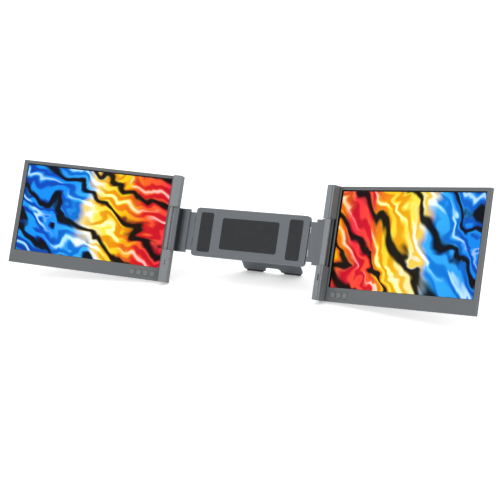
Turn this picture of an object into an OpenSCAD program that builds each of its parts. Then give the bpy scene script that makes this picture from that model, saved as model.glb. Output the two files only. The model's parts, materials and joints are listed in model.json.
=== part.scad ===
// Laptop screen extender: two folding monitors on a bracket that clips round a laptop lid.
// Bracket axes: X to the user's right, Y away from the user, Z up along the lid, with Z = 0 at the
// bottom edge of the monitors and Y = 0 at the inner edge of the lit screens.
// Monitor axes: X outwards from the hinge pin, Y to the back, Z as in the bracket.

/* [Screens] */
// Lit width of each screen
screen_w = 309.4; // [280:0.1:345]
// Lit height of each screen
screen_h = 174.0; // [150:0.5:195]
// Frame outside the lit area, on the outer side
bezel_side = 10.9; // [9:0.1:16]
// Frame above the lit area
bezel_top = 8.7; // [7:0.1:12]
// Chin under the lit area, where the buttons are
bezel_bottom = 26.6; // [25:0.1:34]
// Flat strip between the lit area and the hinge spine
inner_strip = 8.0; // [7.5:0.1:12]
// Thickness of the monitor body
body_t = 8.0; // [8:0.1:11]
// Thickness of the front frame's face
frame_t = 1.6; // [1.2:0.1:1.8]
// Wall thickness of the moulded shells
wall_t = 1.5; // [1.2:0.1:1.8]
// Depth of the front frame's rim, down to the parting line
rim_d = 2.0; // [1.9:0.1:2.4]
// Outer corner radius of the monitor
corner_r = 2.5; // [1.5:0.5:5]
// Chamfer along the front edges of the shells
edge_c = 0.8; // [0.4:0.1:1.0]
// Chamfer along the back edges of the rear cover
back_c = 3.0; // [1.5:0.1:3.2]
// Bevel round the window
window_c = 0.4; // [0.2:0.1:0.8]

/* [Panel] */
// Black border in the left window, beside the spine
border_in_left = 1.0; // [0.5:0.5:5]
// Black border in the right window, beside the spine
border_in_right = 4.5; // [0.5:0.5:5]
// Black border in the window, at the top
border_top = 2.4; // [0.5:0.1:2.6]
// Black border in the window, at the outer side
border_out = 1.8; // [0.4:0.1:2.4]
// Black border in the window, at the bottom
border_bottom = 0.6; // [0.4:0.1:2]
// Thickness of the glass
glass_t = 1.0; // [0.7:0.1:1.1]
// Thickness of the backlight tray
tray_t = 2.6; // [2:0.1:2.8]
// How far the panel runs on under the frame
panel_lap = 2.2; // [1.5:0.1:2.4]

/* [Buttons and sockets] */
// Diameter of a button cap
button_d = 11.4; // [9:0.1:12]
// Distance between button centres
button_pitch = 14.0; // [13.6:0.1:18]
// First button centre, from the inner edge of the lit area
button_x = 10.6; // [9:0.1:16]
// Button centres above the bottom edge
button_z = 12.8; // [12:0.1:14]
// Number of buttons on the left monitor
buttons_left = 4; // [4:1:4]
// Number of buttons on the right monitor
buttons_right = 3; // [3:1:3]
// Travel of a button
button_travel = 0.5; // [0.3:0.1:0.6]
// Gap round a button cap
button_gap = 0.6; // [0.2:0.05:0.7]
// How far a button cap stands out of the frame
button_proud = 0.6; // [0.2:0.1:0.6]
// Depth of the dish in a button cap
button_dish = 0.5; // [0.2:0.1:0.8]
// Height of the left socket above the bottom edge
port_z_left = 37.9; // [36:0.1:41]
// Height of the right socket above the bottom edge
port_z_right = 40.6; // [36:0.1:41]
// Long side of the left socket opening
port_w_left = 9.2; // [9:0.1:10]
// Long side of the right socket opening
port_w_right = 12.4; // [12:0.1:13]
// Short side of both socket openings
port_h = 3.4; // [3.2:0.1:3.6]

/* [Spines and hinges] */
// Width of each hinge spine
spine_w = 16.5; // [16:0.1:20]
// Distance from the hinge pin to the spine's outer side
hinge_edge = 4.5; // [4.5:0.1:4.9]
// Depth from the hinge pin to the screen face, left monitor
hinge_depth_left = 7.0; // [6.5:0.1:7.5]
// Depth from the hinge pin to the screen face, right monitor
hinge_depth_right = 11.6; // [11.5:0.1:13]
// How far the left spine stands out in front of the pin
spine_front_left = 7.3; // [5.6:0.1:7.5]
// How far the right spine stands out in front of the pin
spine_front_right = 5.4; // [5.4:0.1:6.5]
// Corner radius of the spine's front edges
spine_r = 1.0; // [0.6:0.1:1.2]
// Thickness of the spine's front cap
cap_t = 1.3; // [1.0:0.1:1.3]
// Shadow gap between the cap and the spine's sides
cap_seam = 0.8; // [0.4:0.1:0.8]
// Width of the grooves in the right cap and beside both spines
groove_w = 1.0; // [0.4:0.1:1.2]
// Depth of these grooves
groove_d = 0.8; // [0.3:0.1:0.9]
// Bottom of the spine's notch
notch_z = 62.6; // [62:0.1:66]
// Height of the spine's notch
notch_h = 85.4; // [80:0.1:90]
// Gap between the notch and what turns in it, at each end
notch_gap = 0.5; // [0.4:0.1:1]
// Half the width of the hinge knuckle
hinge_half = 3.0; // [2.8:0.1:3.2]
// How far the left knuckle stands out in front of the pin
hinge_front_left = 4.6; // [3.4:0.1:4.8]
// How far the right knuckle stands out in front of the pin
hinge_front_right = 4.2; // [3.4:0.1:5.2]
// Radius of the hinge shaft
shaft_r = 1.75; // [1.5:0.05:1.8]
// Radial clearance of the shaft in its bores
run_gap = 0.05; // [0.03:0.01:0.08]
// Wall of the friction bushes
bush_t = 0.9; // [0.7:0.1:0.9]

/* [Jaws and arms] */
// Width of the laptop lid that the jaws grip when they are pushed in
lid_w = 321; // [321:1:345]
// Thickest lid that goes between the jaw pads
lid_t = 8.6; // [7:0.1:10]
// Thickness of the silicone pads
pad_t = 0.8; // [0.5:0.1:1.2]
// Reach of the jaw's front lip over the lid's rim
lip_reach = 3.0; // [2.5:0.1:5]
// Thickness of the jaw's front lip
lip_t = 3.0; // [2:0.1:3.2]
// Thickness of the jaw's side wall
jaw_t = 5.5; // [4.5:0.1:6.5]
// Thickness of the hinge leaf on the jaw
leaf_t = 2.8; // [2.2:0.1:3.2]
// Gap from the hinge leaf to the monitor as it turns
turn_gap = 0.8; // [0.6:0.1:1.5]
// Thickness of the sliding arms
arm_t = 3.0; // [2:0.1:3.6]
// Height of the sliding arms
arm_h = 74; // [60:1:76]
// Travel of each arm
arm_travel = 30; // [15:1:34]

/* [Bracket] */
// Width of the bracket
bracket_w = 250; // [230:1:260]
// Height of the bracket
bracket_h = 94; // [92:1:110]
// Thickness of the bracket's front plate
plate_t = 2.2; // [1.8:0.1:3]
// Thickness of the back wall of the bracket's rear cover
back_t = 2.6; // [2.2:0.1:4]
// Clearance round the sliding arms
slide_gap = 0.2; // [0.15:0.05:0.3]
// Corner radius of the bracket
bracket_r = 8; // [4:1:12]
// Width of the middle lid pad
mid_pad_w = 124; // [80:1:140]
// Height of the middle lid pad
mid_pad_h = 60; // [30:1:80]
// Width of the outer lid pads
side_pad_w = 28; // [16:1:34]
// Height of the outer lid pads
side_pad_h = 76; // [40:1:84]
// Distance from the outer lid pads to the bracket's sides
side_pad_margin = 13; // [8:1:15]

/* [Stand] */
// Width of the stand
stand_w = 132; // [110:1:160]
// Length of the stand, from its pin to the centre of its foot
stand_len = 135.5; // [134:0.5:140]
// Thickness of the stand
stand_t = 3.0; // [2:0.1:3.4]
// Radius of the stand's hinge knuckles
knuckle_r = 3.0; // [2.8:0.1:3.2]
// Radius of the stand's pin
stand_pin_r = 1.5; // [1.2:0.1:1.6]
// Radius of the rubber foot
foot_r = 2.5; // [2.2:0.1:3]
// Width of the stand's frame beside its window
stand_rail = 26; // [16:1:36]
// Height of the window in the stand
stand_window_h = 62; // [30:1:70]
// Distance from the foot to the window in the stand
stand_window_z = 34; // [24:1:40]
// Width of the finger cut at the stand's free end
finger_cut_w = 36; // [24:1:44]

/* [Stance] */
// Lean of the bracket back from upright
lean = 24; // [20:0.5:26]
// Angle that each monitor is turned in towards the user
wrap = 15.3; // [10:0.1:18]

/* [Hidden] */
$fn = 48;
LEFT = -1;
RIGHT = 1;
eps = 0.01;
part_gap = 0.1;   // clear gap between pieces that are only stacked

shell_grey = "#6b6e70";
cover_grey = "#404346";
cap_grey = "#787b7e";
button_grey = "#74787c";
bracket_grey = "#5c6064";
steel_dark = "#2b2d30";
steel_bright = "#b9bcc0";
silicone_black = "#1d1e20";
lamp_grey = "#c4c8ca";
board_green = "#1f5a3c";
glass_black = "#0a0d14";
tray_silver = "#a9adb1";

// ---- monitor, in its own axes ----
spine_in = hinge_edge - spine_w;
screen_x = hinge_edge + inner_strip;
outer_x = screen_x + screen_w + bezel_side;
top_z = bezel_bottom + screen_h + bezel_top;
notch_top = notch_z + notch_h;
base_in = -(hinge_half + 0.3);         // inner side of the ledge behind the knuckle
function hinge_front(s) = s == LEFT ? hinge_front_left : hinge_front_right;
function hinge_depth(s) = s == LEFT ? hinge_depth_left : hinge_depth_right;
function spine_front(s) = s == LEFT ? spine_front_left : spine_front_right;
function face_y(s) = hinge_depth(s);
function part_y(s) = face_y(s) + rim_d;
function back_y(s) = face_y(s) + body_t;
// front of that ledge: clear of the knuckle's rounded front edges as they come round
function ledge_y(s) = norm([hinge_half - knuckle_edge, hinge_front(s) - knuckle_edge]) + knuckle_edge
    + turn_gap;
function cap_back_y(s) = cap_t - spine_front(s);

// ---- panel, boards and their fixings ----
function border_in(s) = s == LEFT ? border_in_left : border_in_right;
function window_x0(s) = screen_x - border_in(s);
window_x1 = screen_x + screen_w + border_out;
window_z0 = bezel_bottom - border_bottom;
window_z1 = bezel_bottom + screen_h + border_top;
panel_x0 = screen_x - max(border_in_left, border_in_right) - panel_lap + 0.2;
panel_x1 = window_x1 + panel_lap;
panel_z0 = window_z0 - panel_lap;
panel_z1 = window_z1 + panel_lap - 0.2;
glass_y = frame_t + part_gap;          // behind the screen face
tray_y = glass_y + glass_t + part_gap;
rear_wall_t = wall_t - 0.3;
inner_back = body_t - rear_wall_t;     // inside face of the rear wall, behind the screen face
inner_c = max(back_c + rear_wall_t * sqrt(2) - wall_t - rear_wall_t, 0.2);   // chamfer inside the cover
leaf_y = tray_y + tray_t + part_gap;   // hinge carrier's leaf, behind the screen face
leaf_sheet = inner_back - part_gap - leaf_y;
board_t = 1.0;
board_y = inner_back - part_gap - board_t - 0.6;
chin_top = panel_z0 - 1.4;
key_board_x0 = screen_x + button_x - 7;
key_board_w = 4 * button_pitch;
main_board_x0 = key_board_x0 + key_board_w + 14;
main_board_w = 110;
boss_r = 1.9;
boss_h = 2.6;                          // height of the frame's bosses behind the parting line
screw_r = 0.8;
head_r = screw_r * 2;
screw_z = back_c + head_r + 0.4;
cover_screws = [
    for (x = [screen_x - 3.5, key_board_x0 + key_board_w + 6, main_board_x0 + main_board_w + 8,
        outer_x - screw_z]) [x, screw_z]
];

// ---- snap tabs of the front frame, along the top and the outer side ----
tab_w = 12;
tab_t = 1.0;
tab_reach = 2.2;
bead_r = 0.35;
tabs_top = [for (i = [0 : 3]) screen_x + 24 + i * (screen_w + bezel_side - 48) / 3];
tabs_side = [40, top_z - 40];

// ---- buttons ----
button_r = button_d / 2;
flange_t = 0.8;
flange_r = button_r + 0.9;
stem_r = 1.6;
switch_h = 1.0;
switch_y = board_y - switch_h;
function button_at(i) = screen_x + button_x + i * button_pitch;
function button_count(s) = s == LEFT ? buttons_left : buttons_right;

// ---- sockets on the spine cap ----
function port_w(s) = s == LEFT ? port_w_left : port_w_right;
function port_z(s) = s == LEFT ? port_z_left : port_z_right;
port_x = (spine_in + hinge_edge) / 2;
port_recess = 0.6;
port_depth = 6.5;
socket_wall = 0.2;
function light_z(s) = port_z(s) - 14;
light_r = 0.9;
pinhole_r = 0.5;
pinhole_z = port_z_right + 9.6;
function socket_board_y(s) = port_recess + port_depth + part_gap - spine_front(s);
socket_board_z0 = 12;
post_r = 1.5;                          // posts of the rear cover behind the socket board
post_x = spine_in + 5.5;
function post_z(s) = [light_z(s) - 8, port_z(s)];
rib_t = 0.8;                           // skirt and ribs of the spine cap
rib_reach = 1.2;
cap_groove_x = hinge_edge - 3.9;

// ---- hinge ----
bush_in = shaft_r + run_gap;
bush_out = bush_in + bush_t;
carrier_front = bush_out + 0.9;
ear_wall = wall_t;
shaft_hole = shaft_r + 0.45;
upper_z0 = notch_top + ear_wall + 0.6;
upper_h = 14;
lower_z1 = notch_z - ear_wall - 0.6;
lower_h = 8;
washer_t = 1.6;
nut_t = 2.0;
nut_r = 2.7;
washer_r = 2.5;
stack_gap = 0.2;
shaft_z0 = lower_z1 - lower_h - stack_gap * 2 - washer_t - nut_t - 0.8;
shaft_z1 = upper_z0 + upper_h + stack_gap * 2 + washer_t + nut_t + 0.8;
barrel_z0 = notch_z + notch_gap;
barrel_z1 = notch_top - notch_gap;
knuckle_edge = 1.2;                    // rounding of the knuckle's front edges
web_front = 0.5;                       // the web's front, behind the pin

// ---- jaws and arms, in bracket axes ----
jaw_in = lid_w / 2 + 0.5;              // inside of the jaw's side wall
jaw_out = jaw_in + jaw_t;
lip_in = lid_w / 2 - lip_reach;
leaf_in = jaw_out + part_gap;
leaf_out = leaf_in + leaf_t;
lid_front = -0.6;                      // front face of the lid
lip_front = lid_front - pad_t - lip_t;
lip_back = lid_front - pad_t;
seat_y = lid_front + lid_t;            // face that the lid's back rests on
plate_y = seat_y + pad_t;
arm_y = plate_y + plate_t + slide_gap;
arm_back = arm_y + arm_t;
channel_back = arm_back + slide_gap;
bracket_back = channel_back + back_t;
seat_z = (notch_z + notch_top) / 2;
arm_in = 55;
arm_foot_x = jaw_in - 21;              // where the jaw's back leg starts
jaw_pad_reach = 14;
base_clear = base_in * -1 + turn_gap;  // leaf face to the pin of the right hinge
function hinge_x(s) = leaf_out + base_clear + (hinge_depth_right - hinge_depth(s)) * sin(wrap);
function hinge_y(s) = screen_x * sin(wrap) - hinge_depth(s) * cos(wrap);

// ---- bracket fixings ----
channel_h = arm_h + 8;
glide_h = (channel_h - arm_h) / 2 - slide_gap;
glide_l = 54;
lid_pad_r = 4;
stop_r = 2.0;
stop_x = arm_in + arm_travel + 15;
pillar_x = arm_in - 13;
pillar_z = 27;
pillar_r = 4;
bracket_screw_r = 1.1;
bracket_head_r = 2.2;
bracket_head_t = 1.3;
edge_screw_z = bracket_h / 2 - 3.0;
bracket_screw_at = concat(
    [for (i = [-1, 1]) for (k = [-1, 1]) [i * pillar_x, k * pillar_z]],
    [for (i = [-1 : 1]) for (k = [-1, 1]) [i * (bracket_w / 2 - 16), k * edge_screw_z]]
);

// ---- stand, in bracket axes ----
stand_gap = 0.7;                       // from the knuckles to the bracket's back
stand_pin_y = bracket_back + knuckle_r + stand_gap;
stand_pin_z = seat_z + 37;
base_sheet = 1.2;
hinge_base_w = 108;
hinge_base_h = 22;
hinge_screw_z = stand_pin_z - 15;
stand_low = 0.9 - stand_len;           // free end of the plate
finger_cut_h = 9;
foot_end = 6;                          // from the foot's ends to the plate's sides and the finger cut
knuckle_n = 5;
knuckle_w = hinge_base_w / knuckle_n;
knuckle_side = 0.3;
hinge_screw_x = [-44, 0, 44];
hinge_screw_r = 1.25;
// lowest corner of the monitors: the spine's inner side, where the back chamfer starts
corner_back = (screen_x - spine_in) * sin(wrap) + (body_t - back_c) * cos(wrap);
table_up = -corner_back * sin(lean);   // table level above the bracket's origin
stand_pin_up = stand_pin_z * cos(lean) - stand_pin_y * sin(lean);
stand_phi = acos((stand_pin_up - table_up - foot_r) / stand_len);
stand_open = lean + stand_phi;

// ---- shared shapes ----
module box(p, q) {
    translate(p) cube(q - p);
}

// A rounded rectangle between two corners.
module round_rect(x0, y0, x1, y1, r) {
    translate([x0 + r, y0]) square([x1 - x0 - 2 * r, y1 - y0]);
    translate([x0, y0 + r]) square([x1 - x0, y1 - y0 - 2 * r]);
    for (x = [x0 + r, x1 - r])
        for (y = [y0 + r, y1 - r])
            translate([x, y]) circle(r);
}

// A slab with rounded corners in X and Z, from y0 to y1.
module slab(x0, x1, y0, y1, z0, z1, r) {
    translate([0, y1, 0]) rotate([90, 0, 0]) linear_extrude(y1 - y0) round_rect(x0, z0, x1, z1, r);
}

// A block whose edges are chamfered on the front (c0) and on the back (c1).
module eased_block(x0, x1, y0, y1, z0, z1, c0, c1) {
    intersection() {
        translate([0, 0, z0 - 1]) linear_extrude(z1 - z0 + 2) polygon([
            [x0 + c0, y0], [x1 - c0, y0], [x1, y0 + c0], [x1, y1 - c1],
            [x1 - c1, y1], [x0 + c1, y1], [x0, y1 - c1], [x0, y0 + c0]
        ]);
        translate([x0 - 1, 0, 0]) rotate([90, 0, 90]) linear_extrude(x1 - x0 + 2) polygon([
            [y0, z0 + c0], [y0 + c0, z0], [y1 - c1, z0], [y1, z0 + c1],
            [y1, z1 - c1], [y1 - c1, z1], [y0 + c0, z1], [y0, z1 - c0]
        ]);
    }
}

// The same block with rounded corners.
module eased_slab(x0, x1, y0, y1, z0, z1, r, c0, c1) {
    intersection() {
        slab(x0, x1, y0, y1, z0, z1, r);
        eased_block(x0, x1, y0, y1, z0, z1, c0, c1);
    }
}

// A pin or hole along Y.
module rod_y(x, z, y0, y1, r) {
    translate([x, y1, z]) rotate([90, 0, 0]) cylinder(h = y1 - y0, r = r);
}

// A pin or hole along X.
module rod_x(y, z, x0, x1, r) {
    translate([x0, y, z]) rotate([0, 90, 0]) cylinder(h = x1 - x0, r = r);
}

// A slot with round ends through Y: w along Z, h along X.
module slot_y(x, z, y0, y1, w, h) {
    box([x - h / 2, y0, z - (w - h) / 2], [x + h / 2, y1, z + (w - h) / 2]);
    for (k = [-1, 1])
        rod_y(x, z + k * (w - h) / 2, y0, y1, h / 2);
}

// A countersunk screw along Y with its head's face at y0 and its tip at y1, which may be the nearer one.
module flat_screw(x, z, y0, y1, r, head_r) {
    d = y1 > y0 ? 1 : -1;
    translate([x, y0, z]) rotate([-90 * d, 0, 0]) difference() {
        union() {
            cylinder(h = head_r - r, r1 = head_r, r2 = r);
            cylinder(h = abs(y1 - y0), r = r);
        }
        translate([0, 0, -eps]) cylinder(h = 0.45, r = head_r * 0.36, $fn = 6);
    }
}

// ---- places ----
module in_bracket() {
    rotate([-lean, 0, 0]) translate([0, -seat_y, -seat_z]) children();
}

module in_side(s) {
    in_bracket() {
        if (s == LEFT) mirror([1, 0, 0]) children();
        else children();
    }
}

module in_monitor(s) {
    in_side(s) translate([hinge_x(s), hinge_y(s), 0]) rotate([0, 0, -wrap]) children();
}

module in_stand() {
    in_bracket() translate([0, stand_pin_y, stand_pin_z]) rotate([stand_open, 0, 0]) children();
}

// ---- monitor shells ----
// The body's outline: rounded corners at the outer side, square ones at the spine.
module shell_block(y0, y1, c0, c1) {
    intersection() {
        slab(spine_in - corner_r, outer_x, y0, y1, 0, top_z, corner_r);
        eased_block(spine_in, outer_x, y0, y1, 0, top_z, c0, c1);
    }
}

// The window with a bevel round its front.
module window_cut(s) {
    yf = face_y(s) - 0.1;
    yc = face_y(s) + window_c;
    yb = part_y(s) + 1;
    f = window_c + 0.1;
    intersection() {
        translate([0, 0, window_z0 - f]) linear_extrude(window_z1 - window_z0 + 2 * f) polygon([
            [window_x0(s) - f, yf], [window_x1 + f, yf], [window_x1, yc],
            [window_x1, yb], [window_x0(s), yb], [window_x0(s), yc]
        ]);
        translate([window_x0(s) - f, 0, 0]) rotate([90, 0, 90])
            linear_extrude(window_x1 - window_x0(s) + 2 * f) polygon([
                [yf, window_z0 - f], [yc, window_z0], [yb, window_z0],
                [yb, window_z1], [yc, window_z1], [yf, window_z1 + f]
            ]);
    }
}

// Places along the top and the outer side, with Z outwards from the tabs' outer face.
module at_tabs() {
    for (x = tabs_top)
        translate([x, 0, top_z - wall_t - part_gap]) children();
    for (z = tabs_side)
        translate([outer_x - wall_t - part_gap, 0, z]) rotate([0, 90, 0]) children();
}

// The room that the knuckle, the leaf and the jaw turn in, cut out of the spine.
module notch(s) {
    box([spine_in - 1, -spine_front(s) - 1, notch_z], [base_in, back_y(s) + 1, notch_top]);
    box([base_in - eps, -spine_front(s) - 1, notch_z], [hinge_edge + 1, ledge_y(s), notch_top]);
}

// The spine's outer form, with rounded front edges.
module spine_form(s, y0, y1) {
    yf = -spine_front(s);
    intersection() {
        box([spine_in, y0, 0], [hinge_edge, y1, top_z]);
        linear_extrude(top_z) union() {
            translate([spine_in, yf + spine_r]) square([spine_w, part_y(s) - yf]);
            translate([spine_in + spine_r, yf]) square([spine_w - 2 * spine_r, 2 * spine_r]);
            for (x = [spine_in + spine_r, hinge_edge - spine_r])
                translate([x, yf + spine_r]) circle(spine_r);
        }
    }
}

module bezel(s) {
    yf = face_y(s);
    yp = part_y(s);
    yi = yf + frame_t;
    color(shell_grey) difference() {
        union() {
            difference() {
                union() {
                    shell_block(yf, yp, edge_c, 0);
                    spine_form(s, cap_back_y(s) + cap_seam, yp);
                }
                box([hinge_edge - wall_t, yi, wall_t], [outer_x - wall_t, yp + 1, top_z - wall_t]);
                for (z = [[wall_t, notch_z - ear_wall], [notch_top + ear_wall, top_z - wall_t]])
                    box([spine_in + wall_t, -spine_front(s) - 1, z[0]],
                        [hinge_edge - wall_t + eps, yp + 1, z[1]]);
            }
            for (p = cover_screws)
                rod_y(p[0], p[1], yi - eps, yp + boss_h, boss_r);
            at_tabs() {
                box([-tab_w / 2, yi - eps, -tab_t], [tab_w / 2, yp + tab_reach, 0]);
                rod_x(yp + tab_reach - 0.7, 0, 1 - tab_w / 2, tab_w / 2 - 1, bead_r);
            }
        }
        notch(s);
        window_cut(s);
        box([hinge_edge, yf - 1, -1], [hinge_edge + groove_w, yf + groove_d, top_z + 1]);
        box([base_in + wall_t, ledge_y(s) + wall_t, notch_z - wall_t - eps],
            [hinge_edge, yp + 1, notch_top + wall_t + eps]);
        // screw pilot holes, shaft holes and button holes
        for (p = cover_screws)
            rod_y(p[0], p[1], yi, yp + boss_h + 1, screw_r);
        translate([0, 0, shaft_z0]) cylinder(h = shaft_z1 - shaft_z0, r = shaft_hole);
        for (i = [0 : button_count(s) - 1])
            rod_y(button_at(i), button_z, yf - 1, yi + 1, button_r + button_gap);
    }
}

// One length of the cap's skirt, inside the spine's walls.
module cap_skirt(s, z0, z1, reach) {
    x0 = spine_in + wall_t + part_gap;
    x1 = hinge_edge - wall_t - part_gap;
    y0 = cap_back_y(s);
    difference() {
        box([x0, y0 - eps, z0], [x1, y0 + reach, z1]);
        box([x0 + rib_t, y0 - 1, z0 + rib_t], [x1 - rib_t, y0 + reach + 1, z1 - rib_t]);
    }
}

module spine_cap(s) {
    yf = -spine_front(s);
    yb = cap_back_y(s);
    color(cap_grey) difference() {
        union() {
            spine_form(s, yf, yb);
            for (z = [[0, notch_z - ear_wall + wall_t], [notch_top + ear_wall - wall_t, top_z]])
                cap_skirt(s, z[0] + wall_t + part_gap, z[1] - wall_t - part_gap, cap_seam + part_gap);
            // longer locating ribs, clear of the hinge's hardware
            for (z = [[wall_t + 2, shaft_z0 - 8], [shaft_z1 + 8, top_z - wall_t - 2]])
                for (x = [spine_in + wall_t + part_gap, hinge_edge - wall_t - part_gap - rib_t])
                    box([x, yb - eps, z[0]], [x + rib_t, yb + cap_seam + rib_reach, z[1]]);
        }
        box([spine_in - 1, yf - 1, notch_z], [hinge_edge + 1, yb + 1, notch_top]);
        slot_y(port_x, port_z(s), yf - 1, yb + 1, port_w(s), port_h);
        rod_y(port_x, light_z(s), yf - 1, yb + 1, light_r);
        if (s == RIGHT) {
            rod_y(port_x, pinhole_z, yf - 1, yf + cap_t / 2, pinhole_r);
            box([cap_groove_x, yf - 1, -1], [cap_groove_x + groove_w, yf + groove_d, top_z + 1]);
        }
    }
}

module rear_cover(s) {
    y0 = part_y(s) + part_gap;
    yb = back_y(s);
    yi = face_y(s) + inner_back;
    y_boss = part_y(s) + boss_h + part_gap;
    color(cover_grey) difference() {
        union() {
            difference() {
                shell_block(y0, yb, 0, back_c);
                difference() {
                    eased_block(spine_in + wall_t, outer_x - wall_t, y0 - 1, yi, wall_t, top_z - wall_t, 0,
                        inner_c);
                    box([spine_in, y0 - 2, notch_z - wall_t], [base_in + wall_t, yb, notch_top + wall_t]);
                    for (p = cover_screws)
                        rod_y(p[0], p[1], y_boss, yb, boss_r + 0.3);
                }
            }
            for (z = post_z(s))
                rod_y(post_x, z, socket_board_y(s) + board_t + part_gap, yi + eps, post_r);
        }
        notch(s);
        at_tabs() rod_x(part_y(s) + tab_reach - 0.7, 0, -tab_w / 2, tab_w / 2, bead_r + 0.15);
        for (p = cover_screws) {
            rod_y(p[0], p[1], y_boss - 1, yb + 1, screw_r + 0.2);
            rod_y(p[0], p[1], yb - 1.0, yb + 1, head_r + 0.2);
        }
    }
}

module cover_screws(s) {
    yb = back_y(s);
    color(steel_dark) for (p = cover_screws)
        difference() {
            union() {
                rod_y(p[0], p[1], face_y(s) + frame_t + 0.4, yb - 0.9, screw_r - 0.05);
                rod_y(p[0], p[1], yb - 0.95, yb - 0.1, head_r);
            }
            translate([p[0], yb - 0.6, p[1]]) rotate([-90, 0, 0]) cylinder(h = 2, r = screw_r, $fn = 6);
        }
}

// ---- panel and electronics ----
module screen_glass(s) {
    y = face_y(s) + glass_y;
    color(glass_black) slab(panel_x0, panel_x1, y, y + glass_t, panel_z0, panel_z1, 1);
}

module backlight(s) {
    y = face_y(s) + tray_y;
    color(tray_silver) difference() {
        slab(panel_x0, panel_x1, y, y + tray_t, panel_z0, panel_z1, 1);
        // pressed pockets between the tray's ribs
        for (i = [0 : 5])
            for (k = [0 : 2])
                box([panel_x0 + 46 + i * 44, y + tray_t - 0.5, panel_z0 + 14 + k * 54],
                    [panel_x0 + 82 + i * 44, y + tray_t + 1, panel_z0 + 56 + k * 54]);
        for (z = carrier_screw_z)
            rod_y(carrier_screw_x, z, y + tray_t - 1.6, y + tray_t + 1, screw_r);
    }
}

module main_board(s) {
    y = face_y(s) + board_y;
    z0 = wall_t + 2.0;
    color(board_green) {
        box([main_board_x0, y, z0], [main_board_x0 + main_board_w, y + board_t, chin_top]);
        for (i = [0 : 3])
            box([main_board_x0 + 8 + i * 26, y - 1.2, z0 + 3], [main_board_x0 + 20 + i * 26, y, chin_top - 4]);
        for (i = [0 : 2])
            box([main_board_x0 + 24 + i * 26, y - 0.8, z0 + 5], [main_board_x0 + 28 + i * 26, y, z0 + 11]);
    }
}

module key_board(s) {
    y = face_y(s) + board_y;
    color(board_green) {
        box([key_board_x0, y, button_z - 6.5], [key_board_x0 + key_board_w, y + board_t, button_z + 6.5]);
        for (i = [0 : button_count(s) - 1])
            box([button_at(i) - 2.1, y - switch_h, button_z - 2.1], [button_at(i) + 2.1, y, button_z + 2.1]);
    }
}

// A cap with a shallow dish, a flange that stops it behind the frame and a stem that meets its switch.
module button(s, i) {
    y = face_y(s);
    yf = y + frame_t + part_gap;
    color(button_grey) difference() {
        union() {
            rod_y(button_at(i), button_z, y - button_proud, yf + flange_t, button_r);
            rod_y(button_at(i), button_z, yf, yf + flange_t, flange_r);
            rod_y(button_at(i), button_z, yf, y + switch_y - button_travel - part_gap, stem_r);
        }
        translate([button_at(i), y - button_proud - eps, button_z]) rotate([-90, 0, 0])
            cylinder(h = button_dish, r1 = button_r - 0.6, r2 = button_r - 1.6);
    }
}

// ---- sockets and light on the spine ----
module socket(s) {
    w = port_w(s) - 0.4;
    h = port_h - 0.4;
    y0 = port_recess - spine_front(s);
    z = port_z(s);
    color(steel_bright) {
        difference() {
            slot_y(port_x, z, y0, y0 + port_depth, w, h);
            slot_y(port_x, z, y0 - 1, y0 + port_depth - 1, w - 2 * socket_wall, h - 2 * socket_wall);
        }
        box([port_x - 0.35, y0 + 1.4, z - w * 0.36], [port_x + 0.35, y0 + port_depth, z + w * 0.36]);
    }
}

// The small board that carries the socket and the light, against two posts of the rear cover.
module socket_board(s) {
    y = socket_board_y(s);
    color(board_green) {
        box([spine_in + wall_t + 0.5, y, socket_board_z0],
            [hinge_edge - wall_t - 0.5, y + board_t, shaft_z0 - 0.5]);
        box([port_x - 1.5, y - 0.8, light_z(s) + 3], [port_x + 1.5, y, light_z(s) + 6]);
    }
}

// A light guide from the socket board to the cap.
module status_light(s) {
    color(lamp_grey)
        rod_y(port_x, light_z(s), 0.15 - spine_front(s), socket_board_y(s) - part_gap, light_r - 0.05);
}

// ---- hinge parts in the monitor ----
carrier_screw_x = panel_x0 + 16;
carrier_pitch = 14;
carrier_tail = carrier_pitch + 4;      // how far the leaf runs past its ear
carrier_screw_z = [
    lower_z1 - lower_h / 2, lower_z1 - lower_h / 2 - carrier_pitch,
    upper_z0 + upper_h / 2, upper_z0 + upper_h / 2 + carrier_pitch
];
carrier_leaf_x = carrier_screw_x + 6;

module hinge_carrier(s) {
    y1 = face_y(s) + leaf_y + leaf_sheet;
    y0 = face_y(s) + leaf_y;
    ears = [[lower_z1 - lower_h, lower_h, carrier_tail, 0], [upper_z0, upper_h, 0, carrier_tail]];
    color(tray_silver) for (e = ears)
        difference() {
            union() {
                box([-carrier_front, -carrier_front + 0.5, e[0]], [bush_out + 0.2, y1, e[0] + e[1]]);
                box([-carrier_front, y0, e[0] - e[2]], [carrier_leaf_x, y1, e[0] + e[1] + e[3]]);
            }
            translate([0, 0, e[0] - 1]) cylinder(h = e[1] + 2, r = bush_out + 0.02);
            for (z = carrier_screw_z)
                translate([carrier_screw_x, y1 + eps, z]) rotate([90, 0, 0]) union() {
                    cylinder(h = leaf_sheet, r1 = screw_r + 0.75, r2 = screw_r + 0.15);
                    cylinder(h = leaf_sheet + 1, r = screw_r + 0.15);
                }
        }
}

module hinge_screws(s) {
    y1 = face_y(s) + leaf_y + leaf_sheet - 0.05;
    color(steel_bright) for (z = carrier_screw_z)
        flat_screw(carrier_screw_x, z, y1, y1 - leaf_sheet - 1.4, screw_r - 0.05, screw_r + 0.4);
}

module friction_bushes() {
    color("#b08d57") for (e = [[lower_z1 - lower_h, lower_h], [upper_z0, upper_h]])
        translate([0, 0, e[0]]) difference() {
            cylinder(h = e[1], r = bush_out);
            translate([0, 0, -1]) cylinder(h = e[1] + 2, r = bush_in);
        }
}

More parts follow.
